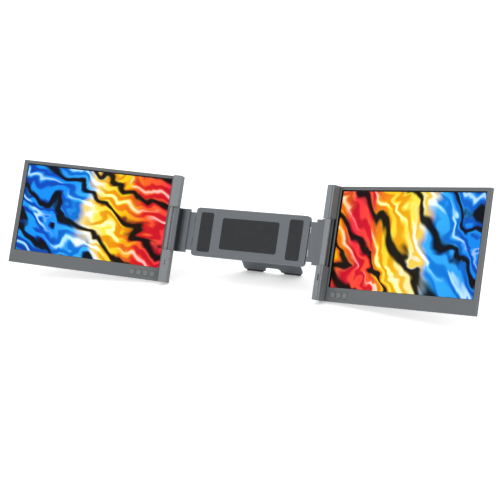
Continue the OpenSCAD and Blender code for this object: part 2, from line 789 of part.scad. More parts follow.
// ---- jaws, arms and the fixed half of each hinge ----
module arm() {
    slot_in = stop_x - arm_travel;
    color(bracket_grey) difference() {
        union() {
            slab(arm_in, arm_foot_x + 4, arm_y, arm_back, seat_z - arm_h / 2, seat_z + arm_h / 2, 3);
            box([arm_foot_x, plate_y, barrel_z0], [jaw_out, arm_back, barrel_z1]);
            box([jaw_in, lip_front, barrel_z0], [jaw_out, arm_back, barrel_z1]);
            box([lip_in, lip_front, barrel_z0], [jaw_out, lip_back, barrel_z1]);
        }
        // rounded outer corner at the back of the jaw
        difference() {
            box([jaw_out - 3, arm_back - 3, barrel_z0 - 1], [jaw_out + 1, arm_back + 1, barrel_z1 + 1]);
            translate([jaw_out - 3, arm_back - 3, barrel_z0 - 2]) cylinder(h = notch_h + 4, r = 3);
        }
        // slot for the stop pin, and lightening windows above and below it
        box([slot_in, arm_y - 1, seat_z - stop_r - 0.2], [stop_x, arm_back + 1, seat_z + stop_r + 0.2]);
        for (x = [slot_in, stop_x])
            rod_y(x, seat_z, arm_y - 1, arm_back + 1, stop_r + 0.2);
        for (k = [-1, 1])
            slab(arm_in + 10, arm_foot_x - 12, arm_y - 1, arm_back + 1, seat_z + k * arm_h * 0.29 - 9,
                seat_z + k * arm_h * 0.29 + 9, 4);
        for (z = leaf_screw_z)
            rod_x(leaf_screw_y, z, jaw_in - 1, jaw_out + 1, leaf_screw_r);
    }
}

// A silicone strip folded round the inside of the jaw.
module jaw_pad() {
    color(silicone_black) difference() {
        box([lip_in, lip_back, barrel_z0 + 1], [jaw_in, plate_y, barrel_z1 - 1]);
        box([lip_in - 1, lid_front, barrel_z0], [lid_w / 2, seat_y, barrel_z1]);
        box([lip_in - 1, lid_front, barrel_z0], [jaw_in - jaw_pad_reach, plate_y + 1, barrel_z1]);
    }
}

leaf_screw_r = 1.2;
leaf_screw_y = (lid_front + seat_y) / 2;
leaf_screw_z = [for (k = [-1 : 1]) seat_z + k * 30];

// A plate on the jaw with a squared knuckle round the pin. The left one has a groove between the two,
// the right one is closed across the front.
module hinge_leaf(s) {
    y = hinge_y(s);
    x = hinge_x(s);
    plate_front = min(lip_front, y + web_front);
    color(cap_grey) difference() {
        translate([0, 0, barrel_z0]) linear_extrude(barrel_z1 - barrel_z0) {
            translate([x, y]) circle(hinge_half);
            round_rect(s == LEFT ? x - hinge_half : leaf_in, y - hinge_front(s), x + hinge_half,
                y + knuckle_edge, knuckle_edge);
            translate([leaf_in, plate_front]) square([leaf_t, arm_back - 3 - plate_front]);
            translate([leaf_in, y + web_front]) square([x - leaf_in, hinge_half - 0.1 - web_front]);
        }
        translate([x, y, barrel_z0 - 1]) cylinder(h = notch_h + 2, r = bush_in);
        for (z = leaf_screw_z)
            translate([leaf_out + eps, leaf_screw_y, z]) rotate([0, -90, 0]) union() {
                cylinder(h = leaf_screw_r, r1 = leaf_screw_r * 2 + 0.1, r2 = leaf_screw_r + 0.1);
                cylinder(h = leaf_t + 1, r = leaf_screw_r + 0.1);
            }
    }
}

module leaf_screws() {
    color(steel_bright) for (z = leaf_screw_z)
        translate([leaf_out - 0.05, leaf_screw_y, z]) rotate([0, -90, 0]) difference() {
            union() {
                cylinder(h = leaf_screw_r, r1 = leaf_screw_r * 2, r2 = leaf_screw_r - 0.05);
                cylinder(h = leaf_t + jaw_t - 1, r = leaf_screw_r - 0.05);
            }
            translate([0, 0, -eps]) cylinder(h = 0.7, r = leaf_screw_r * 0.8, $fn = 6);
        }
}

module hinge_shaft(s) {
    color(steel_bright) translate([hinge_x(s), hinge_y(s), shaft_z0])
        cylinder(h = shaft_z1 - shaft_z0, r = shaft_r);
}

// Spring washers and a lock nut at each end of the shaft.
module shaft_nuts(s) {
    ends = [
        [lower_z1 - lower_h - stack_gap - washer_t, washer_t, washer_r],
        [lower_z1 - lower_h - stack_gap * 2 - washer_t - nut_t, nut_t, nut_r],
        [upper_z0 + upper_h + stack_gap, washer_t, washer_r],
        [upper_z0 + upper_h + stack_gap * 2 + washer_t, nut_t, nut_r]
    ];
    color(steel_bright) translate([hinge_x(s), hinge_y(s), 0]) for (e = ends)
        translate([0, 0, e[0]]) difference() {
            cylinder(h = e[1], r = e[2]);
            translate([0, 0, -1]) cylinder(h = e[1] + 2, r = bush_in);
        }
}

// ---- bracket ----
module bracket_front_plate() {
    y1 = plate_y + plate_t;
    color(bracket_grey) difference() {
        eased_slab(-bracket_w / 2, bracket_w / 2, plate_y, y1, seat_z - bracket_h / 2,
            seat_z + bracket_h / 2, bracket_r, edge_c, 0);
        for (p = bracket_screw_at)
            rod_y(p[0], seat_z + p[1], plate_y + 0.8, y1 + 1, bracket_screw_r - 0.2);
        for (i = [-1, 1])
            rod_y(i * stop_x, seat_z, plate_y + 1.0, y1 + 1, stop_r - 0.8);
    }
}

module bracket_rear_cover() {
    y0 = plate_y + plate_t + part_gap;
    w = bracket_w / 2;
    h = bracket_h / 2;
    color(bracket_grey) difference() {
        eased_slab(-w, w, y0, bracket_back, seat_z - h, seat_z + h, bracket_r, 0, edge_c * 1.5);
        difference() {
            box([-w - 1, y0 - 1, seat_z - channel_h / 2], [w + 1, channel_back, seat_z + channel_h / 2]);
            for (i = [-1, 1])
                for (k = [-1, 1])
                    rod_y(i * pillar_x, seat_z + k * pillar_z, y0, channel_back + 1, pillar_r);
            for (z = [seat_z - 12, seat_z + 12])
                box([4 - pillar_x, y0, z - 0.8], [pillar_x - 4, channel_back + 1, z + 0.8]);
        }
        for (p = bracket_screw_at) {
            rod_y(p[0], seat_z + p[1], y0 - 1, bracket_back + 1, bracket_screw_r + 0.1);
            rod_y(p[0], seat_z + p[1], bracket_back - bracket_head_t, bracket_back + 1, bracket_head_r + 0.1);
        }
        for (i = [-1, 1])
            rod_y(i * stop_x, seat_z, y0 - 1, channel_back + 1.4, stop_r + 0.02);
        for (x = hinge_screw_x)
            rod_y(x, hinge_screw_z, channel_back + 0.6, bracket_back + 1, hinge_screw_r);
    }
}

module bracket_screws() {
    color(steel_dark) for (p = bracket_screw_at)
        difference() {
            union() {
                rod_y(p[0], seat_z + p[1], plate_y + 1.0, bracket_back - 1, bracket_screw_r - 0.25);
                rod_y(p[0], seat_z + p[1], bracket_back - bracket_head_t + 0.05, bracket_back - 0.1,
                    bracket_head_r);
            }
            translate([p[0], bracket_back - 0.8, seat_z + p[1]]) rotate([-90, 0, 0])
                cylinder(h = 2, r = 1.1, $fn = 6);
        }
}

// Low-friction strips above and below each arm.
module arm_glides() {
    y0 = plate_y + plate_t + part_gap + 0.1;
    color("#d8d6cf") for (i = [-1, 1])
        for (k = [-1, 1]) {
            xa = i * (bracket_w / 2 - 3);
            xb = i * (bracket_w / 2 - 3 - glide_l);
            za = seat_z + k * (arm_h / 2 + slide_gap);
            zb = seat_z + k * (arm_h / 2 + glide_h);
            box([min(xa, xb), y0, min(za, zb)], [max(xa, xb), channel_back - 0.1, max(za, zb)]);
        }
}

module arm_stop_pins() {
    color(steel_bright) for (i = [-1, 1]) {
        rod_y(i * stop_x, seat_z, arm_y - 0.1, channel_back + 1.3, stop_r);
        rod_y(i * stop_x, seat_z, plate_y + 1.1, arm_y, stop_r - 0.85);
    }
}

module lid_pads() {
    color(silicone_black) {
        slab(-mid_pad_w / 2, mid_pad_w / 2, seat_y, plate_y, seat_z - mid_pad_h / 2, seat_z + mid_pad_h / 2,
            lid_pad_r);
        for (x = [side_pad_margin - bracket_w / 2, bracket_w / 2 - side_pad_margin - side_pad_w])
            slab(x, x + side_pad_w, seat_y, plate_y, seat_z - side_pad_h / 2, seat_z + side_pad_h / 2,
                lid_pad_r);
    }
}

// ---- stand ----
module stand_hinge_base() {
    z0 = stand_pin_z - hinge_base_h;
    y0 = bracket_back + 0.05;
    w = hinge_base_w / 2;
    color(steel_dark) difference() {
        union() {
            box([-w, y0, z0], [w, y0 + base_sheet, stand_pin_z]);
            for (i = [0 : 2 : knuckle_n - 1])
                hull() {
                    x = -w + i * knuckle_w + knuckle_side;
                    rod_x(stand_pin_y, stand_pin_z, x, x + knuckle_w - 2 * knuckle_side, knuckle_r);
                    box([x, y0, stand_pin_z - knuckle_r],
                        [x + knuckle_w - 2 * knuckle_side, y0 + 1, stand_pin_z]);
                }
        }
        rod_x(stand_pin_y, stand_pin_z, -w - 1, w + 1, stand_pin_r + run_gap);
        for (x = hinge_screw_x)
            rod_y(x, hinge_screw_z, y0 - 1, y0 + base_sheet + 1, hinge_screw_r + 0.1);
        // room for the turning knuckles
        for (i = [1 : 2 : knuckle_n - 1])
            rod_x(stand_pin_y, stand_pin_z, -w + i * knuckle_w, -w + (i + 1) * knuckle_w, knuckle_r + 0.3);
    }
}

module stand_hinge_screws() {
    y = bracket_back + 0.05 + base_sheet;
    color(steel_bright) for (x = hinge_screw_x)
        difference() {
            union() {
                rod_y(x, hinge_screw_z, channel_back + 0.8, y + 0.1, hinge_screw_r - 0.05);
                rod_y(x, hinge_screw_z, y + 0.05, y + 0.55, hinge_screw_r * 1.7);
            }
            translate([x, y + 0.2, hinge_screw_z]) rotate([-90, 0, 0]) cylinder(h = 1, r = 0.8, $fn = 6);
        }
}

// Stand axes: X along the pin, Z up along the plate when it is folded away.
module stand_panel() {
    w = stand_w / 2;
    hw = hinge_base_w / 2;
    color(bracket_grey) difference() {
        union() {
            slab(-w, w, -stand_t / 2, stand_t / 2, stand_low, -knuckle_r - 1.2, 6);
            for (i = [1 : 2 : knuckle_n - 1]) {
                x = -hw + i * knuckle_w + knuckle_side;
                rod_x(0, 0, x, x + knuckle_w - 2 * knuckle_side, knuckle_r - 0.1);
                box([x, -stand_t / 2, -knuckle_r - 4], [x + knuckle_w - 2 * knuckle_side, stand_t / 2, 0]);
            }
        }
        rod_x(0, 0, -w - 1, w + 1, stand_pin_r + 0.02);
        // window that lightens the plate, and its finger cut at the free end
        slab(stand_rail - w, w - stand_rail, -stand_t, stand_t, stand_window_z - stand_len,
            stand_window_z + stand_window_h - stand_len, 8);
        slab(-finger_cut_w / 2, finger_cut_w / 2, -stand_t, stand_t, stand_low - 20,
            stand_low + finger_cut_h, 8);
    }
}

module stand_pin() {
    hw = hinge_base_w / 2;
    color(steel_bright) rod_x(0, 0, -hw, hw, stand_pin_r);
}

// A rubber bead pushed on to the plate's free end, in two lengths beside the finger cut.
module stand_foot() {
    w = stand_w / 2;
    gap = finger_cut_w / 2 + foot_end;
    color(silicone_black) for (x = [[foot_end - w, -gap], [gap, w - foot_end]])
        difference() {
            rod_x(0, -stand_len, x[0], x[1], foot_r);
            box([x[0] - 1, -stand_t / 2, stand_low], [x[1] + 1, stand_t / 2, 0]);
        }
}

in_bracket() bracket_front_plate();
in_bracket() bracket_rear_cover();
in_bracket() arm_glides();
in_bracket() arm_stop_pins();
in_bracket() bracket_screws();
in_bracket() lid_pads();
in_bracket() stand_hinge_base();
in_bracket() stand_hinge_screws();
in_stand() stand_panel();
in_stand() stand_pin();
in_stand() stand_foot();
in_side(LEFT) arm();  // left_arm
in_side(LEFT) jaw_pad();  // left_jaw_pad
in_side(LEFT) hinge_leaf(LEFT);  // left_hinge_leaf
in_side(LEFT) leaf_screws();  // left_leaf_screws
in_side(LEFT) hinge_shaft(LEFT);  // left_hinge_shaft
in_side(LEFT) shaft_nuts(LEFT);  // left_shaft_nuts
in_side(RIGHT) arm();  // right_arm
in_side(RIGHT) jaw_pad();  // right_jaw_pad
in_side(RIGHT) hinge_leaf(RIGHT);  // right_hinge_leaf
in_side(RIGHT) leaf_screws();  // right_leaf_screws
in_side(RIGHT) hinge_shaft(RIGHT);  // right_hinge_shaft
in_side(RIGHT) shaft_nuts(RIGHT);  // right_shaft_nuts
in_monitor(LEFT) bezel(LEFT);  // left_bezel
in_monitor(LEFT) rear_cover(LEFT);  // left_rear_cover
in_monitor(LEFT) spine_cap(LEFT);  // left_spine_cap
in_monitor(LEFT) screen_glass(LEFT);  // left_screen_glass
in_monitor(LEFT) backlight(LEFT);  // left_backlight
in_monitor(LEFT) main_board(LEFT);  // left_main_board
in_monitor(LEFT) key_board(LEFT);  // left_key_board
in_monitor(LEFT) hinge_carrier(LEFT);  // left_hinge_carrier
in_monitor(LEFT) hinge_screws(LEFT);  // left_hinge_screws
in_monitor(LEFT) friction_bushes();  // left_friction_bushes
in_monitor(LEFT) cover_screws(LEFT);  // left_cover_screws
in_monitor(LEFT) socket(LEFT);  // left_socket
in_monitor(LEFT) socket_board(LEFT);  // left_socket_board
in_monitor(LEFT) status_light(LEFT);  // left_status_light
in_monitor(LEFT) button(LEFT, 0);  // left_button_1
in_monitor(LEFT) button(LEFT, 1);  // left_button_2
in_monitor(LEFT) button(LEFT, 2);  // left_button_3
in_monitor(LEFT) button(LEFT, 3);  // left_button_4
in_monitor(RIGHT) bezel(RIGHT);  // right_bezel
in_monitor(RIGHT) rear_cover(RIGHT);  // right_rear_cover
in_monitor(RIGHT) spine_cap(RIGHT);  // right_spine_cap
in_monitor(RIGHT) screen_glass(RIGHT);  // right_screen_glass
in_monitor(RIGHT) backlight(RIGHT);  // right_backlight
in_monitor(RIGHT) main_board(RIGHT);  // right_main_board
in_monitor(RIGHT) key_board(RIGHT);  // right_key_board
in_monitor(RIGHT) hinge_carrier(RIGHT);  // right_hinge_carrier
in_monitor(RIGHT) hinge_screws(RIGHT);  // right_hinge_screws
in_monitor(RIGHT) friction_bushes();  // right_friction_bushes
in_monitor(RIGHT) cover_screws(RIGHT);  // right_cover_screws
in_monitor(RIGHT) socket(RIGHT);  // right_socket
in_monitor(RIGHT) socket_board(RIGHT);  // right_socket_board
in_monitor(RIGHT) status_light(RIGHT);  // right_status_light
in_monitor(RIGHT) button(RIGHT, 0);  // right_button_1
in_monitor(RIGHT) button(RIGHT, 1);  // right_button_2
in_monitor(RIGHT) button(RIGHT, 2);  // right_button_3
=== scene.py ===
# %% [markdown]
# # A laptop screen extender
# Two portable monitors hang on a bracket that clips round a laptop's lid. The solid model is the
# frame: it holds every shell, hinge, jaw and screw at its real size. This notebook adds what the
# eye needs on top: lit screens, moulded and machined finishes, the small rubber ribs, and dark
# lips and seals that are painted shade in the gaps round the buttons and in the grooves.

# %% Load the frame
import bmesh
import bpy
import json
import math
from mathutils import Matrix, Vector


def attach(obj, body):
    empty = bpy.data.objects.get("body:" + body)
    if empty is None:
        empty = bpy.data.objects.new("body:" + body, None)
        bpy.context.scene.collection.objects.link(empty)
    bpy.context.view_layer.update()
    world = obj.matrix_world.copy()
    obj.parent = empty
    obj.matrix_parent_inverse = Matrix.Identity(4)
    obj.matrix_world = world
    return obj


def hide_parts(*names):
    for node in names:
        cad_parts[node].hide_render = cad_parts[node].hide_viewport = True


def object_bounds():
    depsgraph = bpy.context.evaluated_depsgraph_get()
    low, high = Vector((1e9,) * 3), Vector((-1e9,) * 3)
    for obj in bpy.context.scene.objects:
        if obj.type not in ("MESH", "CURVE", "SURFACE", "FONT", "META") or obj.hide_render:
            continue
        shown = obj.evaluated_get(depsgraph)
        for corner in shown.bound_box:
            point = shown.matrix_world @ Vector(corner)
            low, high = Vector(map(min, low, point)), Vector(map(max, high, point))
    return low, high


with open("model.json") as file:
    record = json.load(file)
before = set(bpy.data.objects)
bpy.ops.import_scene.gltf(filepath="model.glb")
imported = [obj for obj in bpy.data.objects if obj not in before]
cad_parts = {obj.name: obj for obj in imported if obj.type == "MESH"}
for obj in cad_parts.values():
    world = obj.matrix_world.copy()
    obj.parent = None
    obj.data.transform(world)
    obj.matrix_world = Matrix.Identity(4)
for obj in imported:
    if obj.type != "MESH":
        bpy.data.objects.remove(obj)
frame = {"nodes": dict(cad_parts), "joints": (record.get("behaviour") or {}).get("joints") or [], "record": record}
CAD_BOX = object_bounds()
NODES = frame["nodes"]
JOINTS = {joint["name"]: joint for joint in frame["joints"]}
MM = 0.001
SIDES = ("left", "right")
print("size in mm", [round((hi - lo) / MM, 1) for lo, hi in zip(*CAD_BOX)])

# %% [markdown]
# ## Camera
# A long lens, a little over 85 mm, keeps the two screens from looking stretched. The camera stands
# to the right of the object and slightly above it, and is rolled a few degrees, which is why the
# row of screens seems to run downhill.

# %% Camera
CAMERA_PLACE_M = (1.1776, -1.8441, 0.5918)
CAMERA_TURN_DEG = (74.154, 4.085, 31.383)
LENS_MM = 86.88
SENSOR_MM = 36

lens = bpy.data.cameras.new("camera")
lens.lens = LENS_MM
lens.sensor_width = SENSOR_MM
lens.sensor_fit = "HORIZONTAL"
lens.clip_start = 0.05
lens.clip_end = 60
camera = bpy.data.objects.new("camera", lens)
camera.location = CAMERA_PLACE_M
camera.rotation_euler = [math.radians(angle) for angle in CAMERA_TURN_DEG]
bpy.context.collection.objects.link(camera)
bpy.context.scene.camera = camera
print("camera", round(camera.location.length, 2), "m from the lid seat")


# %% [markdown]
# ## Colours and nodes
# Colours are picked as the hex values that a screen shows, so one function turns them into the
# linear values that Blender's shaders add up. A second one adds a shader node with its settings
# and its links in a single call, which keeps each material short enough to read.

# %% Two small helpers
def linear(hex_colour):
    """An sRGB hex colour as linear RGBA."""
    parts = [int(hex_colour[i:i + 2], 16) / 255 for i in (1, 3, 5)]
    return [c / 12.92 if c <= 0.04045 else ((c + 0.055) / 1.055) ** 2.4 for c in parts] + [1]


def add(tree, kind, inputs=None, **settings):
    """Adds a node, sets its properties, and sets or links its inputs by name or number."""
    node = tree.nodes.new(kind)
    for name, value in settings.items():
        setattr(node, name, value)
    for name, value in (inputs or {}).items():
        if isinstance(value, bpy.types.NodeSocket):
            tree.links.new(value, node.inputs[name])
        else:
            node.inputs[name].default_value = value
    return node


print("a mid grey of #808080 is", round(linear("#808080")[0], 3), "in linear light")


# %% [markdown]
# ## Studio
# The object stands on a plain white floor in white surroundings, which give most of the light. The
# floor glows a little, like a light table, which keeps the shadows faint. A wide softbox overhead
# and one on each side of the camera only shape the object.

# %% Floor
FLOOR_SIZE_M = 14
FLOOR_DROP_MM = 0.3
FLOOR_GLOW = 0.25
floor_z = CAD_BOX[0].z - FLOOR_DROP_MM * MM

floor_mesh = bpy.data.meshes.new("floor")
half = FLOOR_SIZE_M / 2
floor_mesh.from_pydata(
    [(-half, -half, floor_z), (half, -half, floor_z), (half, half, floor_z), (-half, half, floor_z)],
    [], [(0, 1, 2, 3)])
floor = bpy.data.objects.new("floor", floor_mesh)
bpy.context.collection.objects.link(floor)
paper = bpy.data.materials.new("white_paper_sweep")
paper.use_nodes = True
paper_shader = paper.node_tree.nodes["Principled BSDF"]
paper_shader.inputs["Base Color"].default_value = linear("#fcfcfc")
paper_shader.inputs["Roughness"].default_value = 0.9
paper_shader.inputs["Specular IOR Level"].default_value = 0.1
paper_shader.inputs["Emission Color"].default_value = linear("#ffffff")
paper_shader.inputs["Emission Strength"].default_value = FLOOR_GLOW
floor_mesh.materials.append(paper)
print("floor at", round(floor_z / MM, 1), "mm")


# %% Lights
ROOM_LIGHT = 1.0


def softbox(name, place, size, watts, aim=(0, 0, 0)):
    """A square area light that faces a point, with its place, size and aim in metres."""
    light = bpy.data.lights.new(name, "AREA")
    light.shape = "SQUARE"
    light.size = size
    light.energy = watts
    box = bpy.data.objects.new(name, light)
    box.location = place
    box.rotation_euler = (Vector(aim) - Vector(place)).to_track_quat("-Z", "Y").to_euler()
    bpy.context.collection.objects.link(box)
    return box


softboxes = [
    softbox("overhead_softbox", place=(-0.3, 0.1, 2.4), size=2.2, watts=10),
    softbox("front_softbox", place=(-1.6, -2.6, 1.6), size=1.6, watts=5),
    softbox("right_softbox", place=(2.2, -1.05, 0.8), size=1.2, watts=18, aim=(0.17, 0, 0)),
]
world = bpy.data.worlds.new("studio")
bpy.context.scene.world = world
world.use_nodes = True
background = world.node_tree.nodes["Background"]
background.inputs["Color"].default_value = linear("#ffffff")
background.inputs["Strength"].default_value = ROOM_LIGHT
bpy.context.scene.view_settings.view_transform = "Standard"
print(len(softboxes), "softboxes, and white surroundings at strength", ROOM_LIGHT)


# %% [markdown]
# ## Axes of a monitor
# Each monitor turns on a tilted hinge pin, so nothing on it lines up with the room. The hinge joint
# gives the pin's place and direction, and a button's travel gives the way through the monitor, from
# its face to its back. Those two directions fix a local frame: X outwards, Y to the back, Z up.

# %% Monitor axes
def monitor_axes(side):
    """The matrix from a monitor's own axes, with its zero on the hinge pin, to the frame."""
    pin = JOINTS[side + "_monitor_hinge"]
    up = Vector(pin["axis"]).normalized()
    back = Vector(JOINTS[side + "_button_1_press"]["axis"]).normalized()
    out = back.cross(up) * (1 if side == "right" else -1)
    turned = Matrix((out, back, up)).transposed().to_4x4()
    return Matrix.Translation(Vector(pin["pos_m"])) @ turned


def reach(node, axes):
    """Lowest and highest corner of a node, measured along the given axes."""
    to_local = axes.inverted()
    points = [to_local @ vertex.co for vertex in NODES[node].data.vertices]
    return [Vector([pick(point[i] for point in points) for i in range(3)]) for pick in (min, max)]


AXES = {side: monitor_axes(side) for side in SIDES}
GLASS = {side: reach(side + "_screen_glass", AXES[side]) for side in SIDES}
for side in SIDES:
    print(side, "glass in mm", [round(c / MM, 1) for c in GLASS[side][1] - GLASS[side][0]])


# %% [markdown]
# ## Finishes
# Every finish starts from what the real material is and how its surface was made. Most of them
# share three small effects: a fine grain, a slow drift of tone and gloss from handling, and edges
# of another tone. Edges are brighter on most finishes, as if rubbed. They are darker on the grey
# frames, and on the buttons the darker edges are painted shade round each cap. The effects could
# be drawn anew for each material, but then a change to one would miss the others, so one function
# builds them once. Their sizes are in millimetres. Real grain is too fine to show from this far, so
# it is drawn several times coarser.

# %% The shared surface
EDGE_RADIUS_MM = 0.35
# How squarely a rounded normal still faces the true one, where an edge starts and where it is full.
EDGE_FACING = (0.995, 0.8)
TONE_DRIFT = 0.1
# Noise seldom leaves this span, so the gloss runs over all of its range within it.
NOISE_SPAN = (0.3, 0.7)
# A Mix node's colour sockets have the same names as its others, so they go by number.
COLOUR_A, COLOUR_B, MIXED_COLOUR = 6, 7, 2


def worn_and_shaded_surface(tree, tint, edge_tint, grain_mm, grain_depth_mm, drift_mm, gloss, stretch=(1, 1, 1)):
    """Adds grain, drift and edges of another tone to a Principled shader. Brighter edges are rubbed wear; the
    buttons' darker edges are painted shade. gloss is (low, high) roughness.
    """
    shader = tree.nodes["Principled BSDF"]
    place = add(tree, "ShaderNodeTexCoord").outputs["Object"]
    grain_place = add(tree, "ShaderNodeMapping", {"Vector": place, "Scale": stretch}).outputs[0]
    grain = add(tree, "ShaderNodeTexNoise", {
        "Vector": grain_place, "Scale": 1 / (grain_mm * MM), "Detail": 3, "Roughness": 0.6})
    drift = add(tree, "ShaderNodeTexNoise", {
        "Vector": place, "Scale": 1 / (drift_mm * MM), "Detail": 4, "Roughness": 0.55})
    soft_edge = add(tree, "ShaderNodeBevel", {"Radius": EDGE_RADIUS_MM * MM}, samples=4)
    true_normal = add(tree, "ShaderNodeNewGeometry").outputs["Normal"]
    facing = add(tree, "ShaderNodeVectorMath", {
        0: soft_edge.outputs[0], 1: true_normal}, operation="DOT_PRODUCT")
    edge = add(tree, "ShaderNodeMapRange", {
        "Value": facing.outputs["Value"], "From Min": EDGE_FACING[0], "From Max": EDGE_FACING[1]})
    broken_edge = add(tree, "ShaderNodeMath", {
        0: edge.outputs[0], 1: drift.outputs[0]}, operation="MULTIPLY")
    darker = [c * (1 - TONE_DRIFT) for c in linear(tint)[:3]] + [1]
    lighter = [min(c * (1 + TONE_DRIFT), 1) for c in linear(tint)[:3]] + [1]
    base = add(tree, "ShaderNodeMix", {
        0: drift.outputs[0], COLOUR_A: darker, COLOUR_B: lighter}, data_type="RGBA")
    wear_and_shade_mix = add(tree, "ShaderNodeMix", {
        0: broken_edge.outputs[0], COLOUR_A: base.outputs[MIXED_COLOUR],
        COLOUR_B: linear(edge_tint)}, data_type="RGBA")
    tree.links.new(wear_and_shade_mix.outputs[MIXED_COLOUR], shader.inputs["Base Color"])
    rough = add(tree, "ShaderNodeMapRange", {
        "Value": drift.outputs[0], "From Min": NOISE_SPAN[0], "From Max": NOISE_SPAN[1],
        "To Min": gloss[0], "To Max": gloss[1]})
    tree.links.new(rough.outputs[0], shader.inputs["Roughness"])
    bump = add(tree, "ShaderNodeBump", {
        "Height": grain.outputs[0], "Distance": grain_depth_mm * MM, "Strength": 1,
        "Normal": soft_edge.outputs[0]})
    tree.links.new(bump.outputs[0], shader.inputs["Normal"])
    return shader


def finish(name, metallic=0.0, ior=1.5, **surface):
    """A new material with the shared surface. A metal keeps Blender's own IOR."""
    material = bpy.data.materials.new(name)
    material.use_nodes = True
    shader = worn_and_shaded_surface(material.node_tree, **surface)
    shader.inputs["Metallic"].default_value = metallic
    if not metallic:
        shader.inputs["IOR"].default_value = ior
    return material


print("edges are softened over", EDGE_RADIUS_MM, "mm")


# %% [markdown]
# ### Shells
# The monitors' frames are injection-moulded ABS. Their mould was spark eroded, which leaves an even
# matte grain that hides fingerprints. The covers behind them come from the same kind of mould in a
# darker grey. The bracket and the stand are aluminium, bead blasted and then anodised grey: metal,
# but with a soft and very even shine.

# %% Shell finishes
FINISHES = {
    # Spark-eroded moulded ABS: an even, matte grey.
    "grey_shell": finish(
        "moulded_abs_spark_eroded", tint="#575a5c", edge_tint="#454849", grain_mm=0.9,
        grain_depth_mm=0.03, drift_mm=60, gloss=(0.48, 0.6)),
    # The same ABS from a finer mould, so the caps catch a little more light.
    "grey_cap": finish(
        "moulded_abs_satin", tint="#727578", edge_tint="#8a8e91", grain_mm=0.6,
        grain_depth_mm=0.015, drift_mm=35, gloss=(0.38, 0.48)),
    # Buttons come from a polished mould and are touched a lot, so they shine a little more.
    # Their darker edge tone is painted shade round each cap.
    "button": finish(
        "moulded_abs_button", tint="#656869", edge_tint="#454849", grain_mm=0.5,
        grain_depth_mm=0.01, drift_mm=9, gloss=(0.34, 0.44)),
    # The rear covers: the same grain in a darker batch, so scuffs show a little more.
    "dark_shell": finish(
        "moulded_abs_dark_spark_eroded", tint="#33363a", edge_tint="#54585c", grain_mm=0.9,
        grain_depth_mm=0.035, drift_mm=80, gloss=(0.46, 0.62)),
    # Anodised aluminium: the dye sits in a thin oxide, so the metal's shine comes through dulled.
    "bracket_aluminium": finish(
        "anodised_aluminium_bracket", metallic=0.85, tint="#686c70", edge_tint="#9da1a5",
        grain_mm=0.7, grain_depth_mm=0.02, drift_mm=50, gloss=(0.4, 0.5)),
}
print(len(FINISHES), "shell finishes")

# %% [markdown]
# ### Hinges and small hardware
# Shafts are ground steel, the small screws are blackened, and the bushes are sintered bronze, which
# is porous and holds oil. Ground metal shows fine lines along one direction, so its grain is
# stretched.

# %% Hardware finishes
# Grain that is squeezed less along X than across it becomes lines along X.
ALONG_X = (0.08, 1, 1)
FINISHES.update({
    # Ground steel: bright, with fine lines.
    "bright_steel": finish(
        "ground_steel", metallic=1, tint="#b4b7ba", edge_tint="#d4d7da", grain_mm=0.25,
        grain_depth_mm=0.006, drift_mm=14, gloss=(0.22, 0.34), stretch=ALONG_X),
    # Black oxide on steel: nearly black, with bare metal showing at the rubbed edges.
    "black_steel": finish(
        "black_oxide_steel", metallic=0.9, tint="#3a3c40", edge_tint="#8d9196", grain_mm=0.4,
        grain_depth_mm=0.008, drift_mm=12, gloss=(0.36, 0.5)),
    # Milled aluminium: pale and bright, with the cutter's lines.
    "carrier_aluminium": finish(
        "milled_aluminium", metallic=1, tint="#a9adb1", edge_tint="#c9cdd1", grain_mm=0.3,
        grain_depth_mm=0.008, drift_mm=20, gloss=(0.28, 0.4), stretch=ALONG_X),
    # Sintered bronze: pressed from powder, so it is grainy and dull for a metal.
    "bronze": finish(
        "sintered_bronze", metallic=1, tint="#a07a48", edge_tint="#c79c62", grain_mm=0.3,
        grain_depth_mm=0.02, drift_mm=6, gloss=(0.4, 0.55)),
    # Natural acetal: waxy white, slippery, faintly translucent.
    "acetal": finish(
        "natural_acetal", tint="#d9d7cf", edge_tint="#ecebe6", grain_mm=0.5,
        grain_depth_mm=0.006, drift_mm=25, gloss=(0.3, 0.38), ior=1.48),
    # Moulded polycarbonate: smooth and pale, and glossier than the grey frames.
    "tray_plastic": finish(
        "moulded_polycarbonate_tray", tint="#b3b6b8", edge_tint="#c7cacc", grain_mm=0.8,
        grain_depth_mm=0.01, drift_mm=70, gloss=(0.35, 0.45), ior=1.58),
    # Silicone: matte and a little dusty, with no sharp highlights.
    # The dark lips and seals made of this silicone are painted shade in gaps and grooves; the pad ribs are real.
    "silicone": finish(
        "moulded_silicone", tint="#232427", edge_tint="#2b2c2f", grain_mm=0.8,
        grain_depth_mm=0.02, drift_mm=18, gloss=(0.66, 0.8), ior=1.41),
    # Frosted acrylic: pale, with a soft gloss.
    "light_pipe": finish(
        "frosted_acrylic_light_pipe", tint="#a4a9ac", edge_tint="#c4c8ca", grain_mm=0.3,
        grain_depth_mm=0.005, drift_mm=4, gloss=(0.2, 0.3), ior=1.49),
})
print(len(FINISHES), "finishes so far")


# %% [markdown]
# ### Circuit boards
# A board is glass-fibre epoxy under green solder mask. Its copper shows through as slightly
# lighter lines on a fixed grid, which a brick pattern imitates well.

# %% Circuit board finish
TRACK_MM = 1.27
# The width of a track, as a share of their spacing.
TRACK_WIDTH = 0.12


